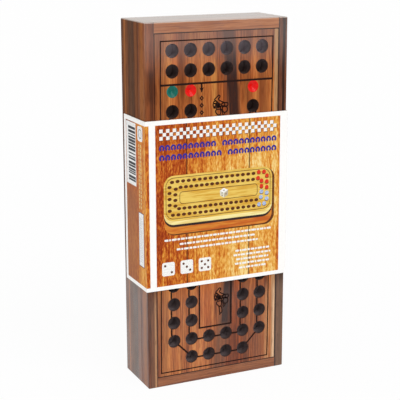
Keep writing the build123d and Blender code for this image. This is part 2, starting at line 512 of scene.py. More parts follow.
    def material(self) -> bpy.types.Material:
        """Builds the finish, from the figured wood up to its lacquer.

        Returns:
            The material.
        """
        shader = Shader(self.name)
        figure, streak = self._layer(shader, self.FIGURE), self._layer(shader, self.STREAK)
        fibre = self._layer(shader, self.FIBRE)
        weighted = (figure - 0.5) * self.FIGURE_SHARE + (streak - 0.5) * self.STREAK_SHARE
        weighted = weighted + (fibre - 0.5) * self.FIBRE_SHARE
        tone = weighted * self.contrast + 0.5
        pores = self._layer(shader, self.PORE).rise(*self.PORE_EDGES)
        colour = self._figured(shader, tone, pores)
        rough = 0.5 + pores * self.PORE_ROUGH
        # Painted reflection: the top end turns a streaky pale grey, and its coat grows.
        worn = self.TOP_END.mask(shader)
        scuffs = self._layer(shader, self.SCUFF)
        faded = worn * (scuffs * self.SCUFF_SHARE + self.WORN_SHARE)
        colour = shader.mix(faded, colour, self.WORN_WOOD)
        shine = worn * (self.WORN_SHINE - scuffs * self.SCUFF_DULL)
        coat = self._cloudy(shader, self.gloss) + self.sheen + shine
        for zone in self.raw:
            bare = zone.mask(shader)
            colour = shader.mix(bare, colour, shader.ramp(tone, self.PLANED))
            rough = rough + bare * self.BARE_ROUGH
            coat = coat * (1 - bare)
        for axis, at in self.joints:
            line = abs(shader.along(axis) - at).rise(*self.JOINT_EDGES)
            colour = shader.mix(line * self.JOINT_SHARE, colour, self.JOINT_LINE)
        if self.bored:
            inside, bore = self._bore(shader)
            colour = shader.mix(inside, colour, bore)
            rough = rough + inside * self.BARE_ROUGH
            coat = coat * (1 - inside)
        return shader.finish(
            Base_Color=colour,
            Roughness=rough,
            Normal=shader.relief(fibre * 0.5 - pores, 0.04 * MM, 0.6),
            Specular_IOR_Level=0.03,
            Coat_Weight=coat.clamped(),
            Coat_Roughness=0.14,
            Coat_IOR=1.8,
        )

    def cut(self, node: str, seed: float, **changes: object) -> None:
        """Gives one CAD node its own cut of this wood, with what differs on it."""
        paint((node,), replace(self, name=f"{node}_wood", seed=seed, **changes).material())


@dataclass(frozen=True)
class GlossFinish:
    """Brushed enamel or stain with slow changes in its shine and depth."""

    name: str
    colour: Colour
    shade: Colour
    roughness: float = 0.3
    coat: float = 0.12
    brush: Colour = (260.0, 260.0, 260.0)

    FLOW_EDGES, UNEVEN = (0.3, 0.75), 0.14

    def material(self) -> bpy.types.Material:
        """Builds the finish.

        Returns:
            The material.
        """
        shader = Shader(self.name)
        flow = shader.noise(self.brush, 2.0, 3.0)
        grain = shader.noise(tuple(4 * density for density in self.brush), 4.0, 2.0)
        return shader.finish(
            Base_Color=shader.mix(flow.rise(*self.FLOW_EDGES), self.shade, self.colour),
            Roughness=self.roughness + (grain - 0.5) * self.UNEVEN,
            Normal=shader.relief(flow, 0.05 * MM, 0.5),
            Specular_IOR_Level=0.08,
            Coat_Weight=self.coat,
            Coat_Roughness=0.08,
        )


@dataclass(frozen=True)
class InkFinish:
    """Printing ink on laminated card, or a line burnt into wood."""

    name: str
    colour: Colour
    shade: Colour | None = None
    grain: Colour = (1500.0, 1500.0, 1500.0)
    roughness: float = 0.42
    coat: float = 0.05

    SPECK_EDGES, UNEVEN, SPECK_DARKNESS = (0.36, 0.62), 0.1, 0.78

    def material(self) -> bpy.types.Material:
        """Builds the finish; without a shade of its own, specks are a fifth darker.

        Returns:
            The material.
        """
        shader = Shader(self.name)
        speckle = shader.noise(self.grain, 8.0, 3.0, 0.6)
        shade = self.shade or tuple(channel * self.SPECK_DARKNESS for channel in self.colour)
        return shader.finish(
            Base_Color=shader.mix(speckle.rise(*self.SPECK_EDGES), shade, self.colour),
            Roughness=self.roughness + (speckle - 0.5) * self.UNEVEN,
            Specular_IOR_Level=0.06,
            Coat_Weight=self.coat,
            Coat_Roughness=0.15,
        )


@dataclass(frozen=True)
class Face:
    """A flat face of the part, with its own directions across and up."""

    origin: tuple[float, float, float]
    across: tuple[float, float, float]
    up: tuple[float, float, float] = (0.0, 0.0, 1.0)

    def points(self, flat: np.ndarray, lift: float) -> np.ndarray:
        """Points of the face in the part's frame.

        Args:
            flat: an N by 2 array, across and up.
            lift: how far above the face they lie.

        Returns:
            An N by 3 array: origin plus across and up shares plus lift times the normal.
        """
        across, up = np.array(self.across), np.array(self.up)
        normal = np.cross(across, up)
        base = np.array(self.origin) + lift * normal
        return base + flat[:, :1] * across + flat[:, 1:] * up


@dataclass
class Inlay:
    """Thin closed slabs on one face, gathered into one mesh."""

    face: Face
    layer: int = 0
    thickness: float = 0.02 * MM
    bed: float = 0.01 * MM
    _points: list[np.ndarray] = field(default_factory=list)
    _faces: list[list[int]] = field(default_factory=list)
    _count: int = 0

    def _add(self, flat: np.ndarray, tops: Iterable[Sequence[int]], rim: Sequence[int]) -> None:
        """Adds one slab: its top faces, the same turned over below, and a wall round its rim.

        Args:
            flat: its corners on the face.
            tops: the corners of each top face, anticlockwise.
            rim: the corners of its outer edge, anticlockwise.
        """
        size = len(flat)
        top = self.thickness * (self.layer + 1)
        self._points += [self.face.points(flat, top), self.face.points(flat, -self.bed)]
        start = self._count
        for corners in tops:
            self._faces.append([start + corner for corner in corners])
            self._faces.append([start + size + corner for corner in reversed(corners)])
        for first, second in zip(rim, [*rim[1:], rim[0]]):
            wall = (second, first, first + size, second + size)
            self._faces.append([start + corner for corner in wall])
        self._count += 2 * size

    def polygon(self, outline: np.ndarray) -> None:
        """A flat shape from its outline, given anticlockwise."""
        order = list(range(len(outline)))
        self._add(np.asarray(outline, float), [order], order)

    def stroke(
        self, path: np.ndarray | Sequence[Spot], width: float, closed: bool = False
    ) -> None:
        """A line of a given width along a path.

        Each side is the path moved by half the width along its normal, which is the tangent
        turned by a quarter; at a corner it is stretched so that both sides stay parallel.

        Args:
            path: the line's middle, as an N by 2 array or a row of points.
            width: its width.
            closed: whether the end joins the start.
        """
        path = np.asarray(path, float)
        ahead = np.roll(path, -1, 0) - path
        if not closed:
            ahead[-1] = ahead[-2]
        ahead /= np.linalg.norm(ahead, axis=1, keepdims=True)
        behind = np.roll(ahead, 1, 0)
        if not closed:
            behind[0] = ahead[0]
        tangent = ahead + behind
        tangent /= np.linalg.norm(tangent, axis=1, keepdims=True)
        stretch = np.clip((tangent * ahead).sum(1, keepdims=True), 0.5, 1.0)
        normal = np.stack([-tangent[:, 1], tangent[:, 0]], 1) / stretch
        flat = np.concatenate([path - normal * width / 2, path + normal * width / 2])
        size = len(path)
        quads = []
        for first in range(size if closed else size - 1):
            second = (first + 1) % size
            quads.append((first, second, size + second, size + first))
        if closed:
            self._ring(flat, quads, size)
        else:
            self._add(flat, quads, [*range(size), *range(2 * size - 1, size - 1, -1)])

    def _ring(self, flat: np.ndarray, quads: list[tuple[int, ...]], size: int) -> None:
        """Adds a closed band, which has two rims: the outer one and the inner one.

        Args:
            flat: the corners of the outer rim, and then those of the inner one.
            quads: its top faces.
            size: how many corners a rim has.
        """
        start = self._count
        self._add(flat, quads, list(range(size)))
        total = len(flat)
        for first in range(size):
            second = (first + 1) % size
            wall = (size + first, size + second, total + size + second, total + size + first)
            self._faces.append([start + corner for corner in wall])

    def disc(
        self, centre: Sequence[float], radius: float, steps: int = 20, squash: float = 1.0
    ) -> None:
        """A round dot, lower than it is wide if it is squashed."""
        self.polygon(arc(radius, 0.0, 2 * math.pi, steps + 1)[:-1] * (1.0, squash) + centre)

    def panel(self, centre: Sequence[float], size: Sequence[float], radius: float = 0.0) -> None:
        """A rectangle about a centre, with round corners if it has a radius."""
        self.polygon(rounded(size, radius) + centre)

    def piece(self, name: str, material: bpy.types.Material, body: str, slot: str) -> None:
        """Makes the gathered slabs one object.

        Args:
            name: the piece's name.
            material: its finish.
            body: the body that it rides on.
            slot: the record's material slot; not used.
        """
        mesh = bpy.data.meshes.new(name)
        mesh.from_pydata(np.concatenate(self._points), [], self._faces)
        mesh.materials.append(material)
        mesh.update()
        piece = bpy.data.objects.new(name, mesh)
        bpy.context.scene.collection.objects.link(piece)
        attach(piece, body)
        log.info("%s: %d faces on %s", name, len(self._faces), body)

    def ink(self, name: str, colour: Colour, body: str, **finish: object) -> None:
        """Makes the gathered slabs a piece of one printing ink on the card."""
        material = InkFinish(f"{name}_ink", colour, **finish).material()
        self.piece(name, material, body, "printed_card")


def arc(radius: float, start: float, end: float, steps: int = 12) -> np.ndarray:
    """Points from one angle to another: radius times cosine and sine, both ends included."""
    angle = np.linspace(start, end, steps)
    return radius * np.stack([np.cos(angle), np.sin(angle)], 1)


def rounded(size: Sequence[float], radius: float, steps: int = 5) -> np.ndarray:
    """Outline of a rectangle: a quarter circle at each corner, or a plain corner.

    Args:
        size: its width and height.
        radius: the corners' radius, or nought.
        steps: how many points a corner has.

    Returns:
        The outline about the origin, anticlockwise.
    """
    half = np.asarray(size) / 2 - radius
    signs = np.array([(1, 1), (-1, 1), (-1, -1), (1, -1)])
    if radius == 0:
        return half * signs
    quarter = math.pi / 2
    corners = [arc(radius, turn, turn + quarter, steps) for turn in np.arange(4) * quarter]
    return np.concatenate([half * sign + corner for sign, corner in zip(signs, corners)])


def swept_down(outline: np.ndarray, drop: float) -> np.ndarray:
    """An outline whose lower half is moved down, as the near edge of a thick board shows."""
    return outline - np.stack([np.zeros(len(outline)), (outline[:, 1] < 0) * drop], 1)


def spread(outline: np.ndarray, count: int) -> np.ndarray:
    """Points at equal steps along a closed outline, found by its summed length.

    Args:
        outline: the outline's corners.
        count: how many points are wanted.

    Returns:
        A count by 2 array.
    """
    closed = np.concatenate([outline, outline[:1]])
    steps = np.linalg.norm(np.diff(closed, axis=0), axis=1)
    along = np.concatenate([[0.0], np.cumsum(steps)])
    wanted = np.arange(count) * along[-1] / count
    return np.stack([np.interp(wanted, along, closed[:, axis]) for axis in (0, 1)], 1)


def curve(points: Sequence[Spot], closed: bool = False, steps: int = 5) -> np.ndarray:
    """A smooth line through points: a Catmull-Rom spline, cubic between each pair.

    Args:
        points: the points that it goes through.
        closed: whether it comes back to the first.
        steps: how many points each span gets.

    Returns:
        The line's points.
    """
    knots = np.asarray(points, float)
    if closed:
        knots = np.concatenate([knots[-1:], knots, knots[:2]])
    else:
        knots = np.concatenate([[2 * knots[0] - knots[1]], knots, [2 * knots[-1] - knots[-2]]])
    share = (np.arange(steps) / steps)[:, None, None]
    before, first, second, after = (knots[k : len(knots) - 3 + k] for k in range(4))
    spans = 0.5 * (
        2 * first
        + (second - before) * share
        + (2 * before - 5 * first + 4 * second - after) * share**2
        + (3 * first - before - 3 * second + after) * share**3
    )
    inner = spans.transpose(1, 0, 2).reshape(-1, 2)
    return inner if closed else np.concatenate([inner, knots[-2:-1]])


def paint(nodes: Iterable[str], material: bpy.types.Material) -> None:
    """Gives CAD nodes one material, which replaces the one they were packed with.

    Args:
        nodes: the nodes' names.
        material: their finish.
    """
    for name in nodes:
        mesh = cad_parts[name].data
        mesh.materials.clear()
        mesh.materials.append(material)
        log.info("%s: %s", name, material.name)


@dataclass(frozen=True)
class HorseFigure:
    """A horse with its rider that gallops down the board, in millimetres about its middle."""

    pen: float = 0.8
    outlines: tuple[tuple[Spot, ...], ...] = (
        # The raised tail and the rump; the horse's barrel; the head, which points down.
        ((-1.4, 9.3), (-0.6, 8.9), (-0.6, 8.0), (-1.3, 7.4), (-1.4, 6.6), (-0.6, 5.8), (0.8, 5.1),
         (2.0, 4.4), (1.0, 3.6), (-0.1, 3.5), (-1.2, 4.0), (-2.0, 4.6), (-2.8, 5.4), (-4.2, 6.5),
         (-3.6, 7.4), (-2.6, 8.3)),
        ((-2.8, 0.1), (-1.6, 0.2), (-0.4, 0.2), (0.1, -1.0), (0.0, -2.4), (-0.5, -3.5),
         (-1.6, -3.5), (-2.6, -2.7), (-3.4, -1.7), (-3.6, -0.7)),
        ((-1.7, -3.7), (-1.5, -5.4), (-1.4, -7.2), (-0.7, -8.4), (0.2, -7.9), (0.4, -6.4),
         (0.2, -4.8), (-0.3, -3.6)),
        # The hind leg, the bent foreleg and the girth between them.
        ((0.8, 3.6), (2.0, 4.3), (3.5, 4.2), (4.8, 4.1), (5.2, 3.3), (4.9, 2.2), (3.6, 1.9),
         (2.6, 2.1), (1.4, 2.4), (0.6, 2.8)),
        ((1.6, 1.6), (3.2, 1.8), (4.4, 1.3), (4.8, 0.0), (4.4, -1.4), (3.2, -2.0), (2.0, -1.7),
         (1.4, -0.6), (1.2, 0.6)),
        ((0.2, 2.0), (1.1, 1.9), (1.2, 0.7), (0.8, -0.1), (0.1, 0.4)),
        # The rider's head and back.
        ((-4.7, 5.4), (-3.5, 5.7), (-2.8, 5.0), (-3.1, 4.2), (-4.1, 4.1), (-4.9, 4.6)),
        ((-5.1, 4.0), (-3.8, 4.0), (-3.5, 3.2), (-3.8, 2.3), (-4.8, 2.2), (-5.3, 3.1)),
    )
    strokes: tuple[tuple[Spot, ...], ...] = (
        # The hock, the two far legs, the rider's arm and the tip of the muzzle.
        ((2.9, 4.1), (2.8, 3.1), (3.0, 2.1)),
        ((1.1, -1.0), (1.3, -2.3), (1.0, -3.6)),
        ((2.6, -2.0), (2.4, -3.4), (1.0, -4.4)),
        ((-3.0, 2.0), (-3.1, 1.2), (-2.8, 0.6)),
        ((-1.1, -8.2), (-1.3, -9.6)),
    )
    dots: tuple[tuple[float, float, float], ...] = (
        # The rider's dark coat, the boot and the horse's elbow.
        (-2.4, 3.1, 1.2), (-1.1, 2.6, 1.0), (-1.8, 1.7, 0.9), (-0.4, 1.7, 0.7),
        (-4.7, 1.5, 0.6), (-4.0, 1.3, 0.6), (0.4, -0.8, 0.5),
    )

    def draw(self, inlay: Inlay, middle: Spot) -> None:
        """Burns the figure.

        Args:
            inlay: where its lines go.
            middle: the point of the board that it is about.
        """
        for outline in self.outlines:
            inlay.stroke(curve(outline, closed=True) * MM + middle, self.pen * MM, closed=True)
        for line in self.strokes:
            inlay.stroke(curve(line) * MM + middle, self.pen * MM)
        for across, up, radius in self.dots:
            inlay.disc(np.array([across, up]) * MM + middle, radius * MM, 12)


FRONT_FACE = Zone(Y, *mm(-19.4, -19.8))
FRONT_GLOSS = (
    Zone(Z, *mm(200, 232), 0.95, only=FRONT_FACE),
    Zone(Z, *mm(74, 56), 0.40, only=FRONT_FACE),
)
# Zones where a pale grey is painted in the holes as reflection, near the head and foot.
BORE_DUST = (Zone(Z, *mm(205, 226), 0.9), Zone(Z, *mm(84, 66), 0.26))
SIDE_GLOSS = Zone(Z, *mm(118, 60), 0.74)


@dataclass
class RaceBoard:
    """The drilled board: its wood, its burnt lines and figures, and its enamel marks."""

    column_pitch: float = 12.6 * MM
    row_pitch: float = 12.75 * MM
    columns: int = 6
    rows: int = 17
    first_linked_row: int = 3
    single_file: float = 4.5
    hole_radius: float = 4.5 * MM
    hole_depth: float = 10.0 * MM
    border_width: float = 0.8 * MM
    link_width: float = 1.15 * MM
    link_start: float = 0.9
    start_line_width: float = 1.3 * MM
    border_inset: Spot = mm(4.2, 2.7)
    head_ratio: float = 1.8
    misprint: Spot = mm(-1.9, -0.9)
    lean: float = 1.6 * MM
    start_line_z: float = 200.8 * MM
    arrow_x: float = -11.3 * MM
    arrow_length: float = 6.2 * MM
    diamond_z: tuple[float, ...] = mm(191.2, 186.6, 182.0)
    field_x: Spot = mm(-13.3, 9.9)
    field_z: Spot = mm(37.2, 172.0)
    horse_middles: tuple[Spot, ...] = (mm(2.0, 183.0), mm(2.45, 118.4), mm(2.9, 53.8))

    ARROW_HEAD = ((0, 0), (1.05, 2.3), (0, 1.6), (-1.05, 2.3))
    DIAMOND = ((1.0, 0), (0, 1.15), (-1.0, 0), (0, -1.15))

    def __post_init__(self) -> None:
        """Finds the board's face in the frame."""
        self.low, self.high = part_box("board_panel")
        self.middle_z = (self.low.z + self.high.z) / 2
        self.face = Face((0.0, self.low.y, 0.0), (1.0, 0.0, 0.0))

    def hole(self, column: float, row: float) -> np.ndarray:
        """Middle of a hole on the board's face; columns from the left, rows from the top."""
        across = (column - (self.columns - 1) / 2) * self.column_pitch
        return np.array([across, self.middle_z + ((self.rows - 1) / 2 - row) * self.row_pitch])

    def _link(self, inlay: Inlay, start: Spot, end: Spot, shift: Spot = (0.0, 0.0)) -> None:
        """Burns a line from one hole's rim to the next.

        Args:
            inlay: where the line goes.
            start: column and row of the first hole.
            end: column and row of the second hole.
            shift: how far the line was burnt off the holes.
        """
        first, second = self.hole(*start), self.hole(*end)
        along = (second - first) / np.linalg.norm(second - first)
        trim = along * self.hole_radius * self.link_start
        inlay.stroke(np.array([first + trim, second - trim]) + shift, self.link_width)

    def _lanes(self, inlay: Inlay) -> None:
        """Burns the lines that join the holes of both lanes and round the turn at the foot.

        Args:
            inlay: where the lines go.
        """
        foot, first = self.rows - 1, self.first_linked_row
        inner, outer = self.columns - 2, self.columns - 1
        aside, below = (self.misprint[0], 0.0), (0.0, self.misprint[1])
        for column in (0, 1):
            for row in range(first, foot - 1):
                self._link(inlay, (column, row), (column, row + 1), aside)
        for column in (inner, outer):
            self._link(inlay, (self.single_file, first), (column, first + 1))
            for row in range(first + 1, foot - 1):
                self._link(inlay, (column, row), (column, row + 1), aside)
        for column in range(1, inner):
            self._link(inlay, (column, foot - 1), (column + 1, foot - 1), below)
            self._link(inlay, (column, foot), (column + 1, foot), below)
        self._link(inlay, (0, foot - 1), (1, foot))
        self._link(inlay, (inner, foot), (outer, foot - 1))

    def _frames(self, inlay: Inlay) -> None:
        """Burns the border, whose foot leans to the left, the start line and the middle field.

        Args:
            inlay: where the lines go.
        """
        side_inset, foot_inset = self.border_inset
        reach = self.high.x - side_inset
        low, high = self.low.z + foot_inset, self.high.z - self.head_ratio * foot_inset
        feet = [(-reach - self.lean, low), (reach - self.lean, low)]
        inlay.stroke([*feet, (reach, high), (-reach, high)], self.border_width, closed=True)
        start = self.start_line_z
        inlay.stroke([(-reach, start), (reach, start)], self.start_line_width)
        (left, right), (foot, head) = self.field_x, self.field_z
        middle_field = [(left, foot), (right, foot), (right, head), (left, head)]
        inlay.stroke(middle_field, self.link_width, closed=True)

    def _arrow(self, inlay: Inlay) -> None:
        """Burns a short arrow down from the start line, and a row of diamonds below it.

        Args:
            inlay: where the lines go.
        """
        start = self.start_line_z
        tip, barb = start - self.arrow_length, self.arrow_length / 4
        inlay.stroke([(self.arrow_x, start), (self.arrow_x, tip + 1.4 * barb)], self.link_width)
        inlay.polygon(np.array(self.ARROW_HEAD) * barb + (self.arrow_x, tip))
        for up in self.diamond_z:
            diamond = np.array(self.DIAMOND) * MM + (self.arrow_x, up)
            inlay.stroke(diamond, self.border_width, closed=True)

    def _wood(self) -> WoodFinish:
        """Amber wood with a near black streak right of the middle and sapwood at the right.

        Returns:
            The finish.
        """
        upper, foot, head = Zone(Z, *mm(34, 40)), Zone(Z, *mm(66, 50)), Zone(Z, *mm(184, 200))
        top = Zone(Z, *mm(212, 228))
        under_top = Zone(Z, *mm(219, 208), only=Zone(Z, *mm(140, 160)))
        rear, mouth = self.high.y, self.low.y
        return WoodFinish(
            "board_wood",
            dark=(0.13, 0.031, 0.009), mid=(0.375, 0.104, 0.026), pale=(0.57, 0.205, 0.052),
            seed=3.0, gloss=FRONT_GLOSS, contrast=0.9, dust=BORE_DUST,
            raw=(Zone(Y, rear - 0.2 * MM, rear - 0.1 * MM),),
            bored=(mouth + 0.35 * MM, mouth + self.hole_depth + 0.4 * MM),
            joints=((X, self.low.x), (X, self.high.x), (Z, self.low.z), (Z, self.high.z)),
            stripes=(
                Stripe(X, 6.6, 4.6, (0.17, 0.055, 0.022), 0.45, soft=1.8, bend=0.5),
                Stripe(X, 11.0, 9.0, (0.12, 0.055, 0.032), 0.6, soft=1.6, bend=0.5),
                Stripe(X, 11.4, 7.4, (0.030, 0.014, 0.012), 0.94, over=upper, bend=0.5),
                Stripe(X, 20.8, 4.0, (0.12, 0.033, 0.012), 0.58, soft=1.6),
                Stripe(X, 31.5, 6.5, (0.17, 0.046, 0.016), 0.65, soft=2.0),
                Stripe(X, -2.4, 3.2, (0.58, 0.25, 0.060), 0.7, 1.2, 1.4, under_top),
                Stripe(X, -39.6, 8.0, (0.13, 0.042, 0.018), 0.42, soft=1.4),
                Stripe(X, -25.2, 4.6, (0.08, 0.022, 0.008), 0.58, soft=1.5, over=head),
                # Across the whole width: the board is darker towards its head.
                Stripe(X, 0.0, 90, (0.17, 0.060, 0.032), 0.5, over=top),
                Stripe(X, 37.6, 3.6, (0.50, 0.215, 0.080), 0.8, 0.6, 0.9, foot),
                Stripe(X, 42.0, 3.0, (0.44, 0.235, 0.105), 0.92, 0.2, 0.25),
                Stripe(X, 42.7, 2.0, (0.72, 0.46, 0.27), 0.9, 0.1, 0.25, foot),
            ),
        )

    def dress(self) -> None:
        """Finishes the board and makes its burnt lines and figures."""
        paint(("board_panel",), self._wood().material())
        green = GlossFinish("green_enamel", (0.012, 0.20, 0.16), (0.006, 0.12, 0.09))
        red = GlossFinish("red_enamel", (0.82, 0.010, 0.006), (0.66, 0.004, 0.003))
        paint(("start_mark_green",), green.material())
        paint(("start_mark_red", "finish_mark_red"), red.material())
        burnt = InkFinish("burnt_line", (0.022, 0.009, 0.007), roughness=0.75, coat=0.0).material()
        lines, figures = Inlay(self.face), Inlay(self.face)
        self._frames(lines)
        self._arrow(lines)
        self._lanes(lines)
        lines.piece("burnt_course_lines", burnt, "lid", "board_wood")
        for middle in self.horse_middles:
            HorseFigure().draw(figures, middle)
        figures.piece("burnt_horses", burnt, "lid", "board_wood")


@dataclass
class LidFrame:
    """The four strips round the board."""

    wood: WoodFinish = WoodFinish(
        "strip_wood", (0.045, 0.015, 0.008), (0.145, 0.047, 0.020), (0.26, 0.095, 0.036),
        gloss=FRONT_GLOSS,
    )
    edge_gloss: float = 0.56
    rail_contrast: float = 0.7

    def _left_stile(self, joint: float) -> None:
        """Finishes the left stile, which shows its front and its outer edge.

        Args:
            joint: where the board meets it.
        """
        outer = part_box("lid_stile_left")[0].x
        near, far = outer + 0.1 * MM, outer + 0.3 * MM
        edge, front = Zone(X, far, near), Zone(X, near, far)
        below = Zone(Z, *mm(216, 208), only=front)
        patch = Zone(Z, *mm(213, 207), only=Zone(Z, *mm(186, 194), only=front))
        foot = Zone(Z, *mm(74, 52), only=front)
        self.wood.cut(
            "lid_stile_left", 11.0, joints=((X, joint),),
            gloss=(*FRONT_GLOSS, replace(SIDE_GLOSS, share=self.edge_gloss, only=edge)),
            stripes=(
                Stripe(X, -45.6, 2.6, (0.070, 0.025, 0.014), 0.65, 0.4, over=below),
                Stripe(X, -46.2, 5.0, (0.035, 0.012, 0.008), 0.5, 0.5, over=patch),
                Stripe(X, -46.4, 4.0, (0.22, 0.092, 0.044), 0.55, 0.4, over=foot),
                Stripe(X, -44.8, 1.3, (0.50, 0.25, 0.11), 0.8, 0.1, 0.3, foot),
                Stripe(Y, -14.6, 5.4, (0.36, 0.120, 0.026), 0.70, 0.6, 1.2, edge),
            ),
        )

    def _right_stile(self, joint: float) -> None:
        """Finishes the right stile, which is darker and turns brown at its foot.

        Args:
            joint: where the board meets it.
        """
        foot = Zone(Z, *mm(74, 52))
        self.wood.cut(
            "lid_stile_right", 17.0, joints=((X, joint),),
            dark=(0.026, 0.012, 0.009), mid=(0.090, 0.038, 0.024), pale=(0.19, 0.085, 0.048),
            stripes=(
                Stripe(X, 47.4, 1.7, (0.020, 0.011, 0.009), 0.85, 0.4, 0.4),
                Stripe(X, 44.2, 0.9, (0.030, 0.014, 0.010), 0.6, 0.2, 0.3),
                Stripe(X, 47.2, 5.6, (0.22, 0.112, 0.060), 0.62, 0.4, over=foot),
            ),
        )

    def dress(self) -> None:
        """Finishes the stiles with upright grain and the rails with level grain."""
        low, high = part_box("board_panel")
        self._left_stile(low.x)
        self._right_stile(high.x)
        level = {"grain": X, "contrast": self.rail_contrast}
        self.wood.cut(
            "lid_rail_top", 23.0, joints=((Z, high.z),), **level,
            mid=(0.34, 0.105, 0.030), pale=(0.48, 0.185, 0.065), dark=(0.18, 0.050, 0.018),
        )
        self.wood.cut(
            "lid_rail_bottom", 29.0, joints=((Z, low.z),), **level,
            mid=(0.24, 0.075, 0.025), pale=(0.36, 0.13, 0.050), dark=(0.11, 0.032, 0.014),
        )


@dataclass
class Tray:
    """The tray's two side walls, its ends and its thin back."""

    wood: WoodFinish = WoodFinish(
        "tray_wood", (0.038, 0.012, 0.006), (0.112, 0.035, 0.012), (0.215, 0.075, 0.024),
        gloss=(SIDE_GLOSS,),
    )
    bare_depth: float = 0.1 * MM
    end_contrast: float = 0.8

    def _inside(self, axis: Axis, face: float, inwards: float) -> tuple[Zone, ...]:
        """Unlacquered wood on a piece's inner face."""
        return (Zone(axis, face - 2 * inwards * self.bare_depth, face - inwards * self.bare_depth),)

    def dress(self) -> None:
        """Finishes each wall with the grain along its length."""
        bands = (
            Stripe(Y, 3.0, 9.0, (0.085, 0.040, 0.020), 0.70, 1.0, 2.2),
            Stripe(Y, 18.8, 2.0, (0.070, 0.030, 0.020), 0.7, 0.3, 0.5),
            Stripe(Y, 13.0, 2.4, (0.38, 0.130, 0.034), 0.75, 0.5, 0.7),
            Stripe(Y, -5.6, 3.4, (0.25, 0.080, 0.022), 0.6, 0.5, 1.2),
        )
        left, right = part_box("tray_side_left")[1].x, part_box("tray_side_right")[0].x
        top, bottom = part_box("tray_end_top")[0].z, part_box("tray_end_bottom")[1].z
        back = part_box("tray_back_panel")[0].y
        cut, inside = self.wood.cut, self._inside
        level = {"grain": X, "contrast": self.end_contrast}
        cut("tray_side_left", 31.0, stripes=bands, raw=inside(X, left, 1))
        cut("tray_side_right", 37.0, stripes=bands, raw=inside(X, right, -1))
        cut("tray_end_top", 41.0, raw=inside(Z, top, -1), gloss=(), **level)
        cut("tray_end_bottom", 43.0, raw=inside(Z, bottom, 1), **level)
        cut(
            "tray_back_panel", 47.0, raw=inside(Y, back, -1), gloss=(),
            mid=(0.24, 0.095, 0.040), pale=(0.38, 0.17, 0.075), contrast=self.end_contrast,
        )


@dataclass
class PlayingPieces:
    """The pegs, the die and the folded leaflet that lie in the tray."""

    pegs_per_colour: int = 6
    die_pip_reach: float = 4.4 * MM
    die_pip_sink: float = 0.04 * MM
    die_stops: Stops = ((0.3, (0.55, 0.40, 0.22)), (0.75, (0.80, 0.66, 0.45)))
    pip_paint: Colour = (0.02, 0.015, 0.012)
    paper_stops: Stops = ((0.3, (0.72, 0.71, 0.67)), (0.7, (0.84, 0.83, 0.80)))

    def dress(self) -> None:
        """Finishes every loose piece."""
        stains = {
            "red": GlossFinish("red_stain", (0.62, 0.020, 0.012), (0.40, 0.010, 0.008)),
            "blue": GlossFinish("blue_stain", (0.030, 0.16, 0.52), (0.016, 0.08, 0.30)),
        }
        for colour, stain in stains.items():
            names = [f"peg_{colour}_{number + 1}" for number in range(self.pegs_per_colour)]
            paint(names, stain.material())
        paint(("die",), self._die_wood())
        paint(("rules_leaflet",), self._paper())

    def _die_wood(self) -> bpy.types.Material:
        """Pale wood with dark paint where the surface lies inside the cube's flat faces.

        Returns:
            The material.
        """
        low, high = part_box("die")
        shader = Shader("die_wood")
        half = (high.x - low.x) / 2
        centre = (low + high) / 2
        across = [abs(value - middle) for value, middle in zip(shader.place(), centre)]
        largest = across[0] | across[1] | across[2]
        smallest = across[0] & across[1] & across[2]
        between = across[0] + across[1] + across[2] - largest - smallest
        pip = (largest < half - self.die_pip_sink) & (between < self.die_pip_reach)
        grain = shader.noise((900.0, 900.0, 60.0), 5.0, 3.0)
        return shader.finish(
            Base_Color=shader.mix(pip, shader.ramp(grain, self.die_stops), self.pip_paint),
            Roughness=0.4 + grain * 0.15,
            Coat_Weight=0.3,
            Coat_Roughness=0.15,
        )

    def _paper(self) -> bpy.types.Material:
        """Uncoated paper: a faint cloud of fibres and a soft tooth.

        Returns:
            The material.
        """
        shader = Shader("leaflet_paper")
        fibres = shader.noise((800.0, 800.0, 800.0), 9.0, 4.0, 0.7)
        return shader.finish(
            Base_Color=shader.ramp(fibres, self.paper_stops),
            Roughness=0.85,
            Normal=shader.relief(fibres, 0.02 * MM, 0.5),
        )


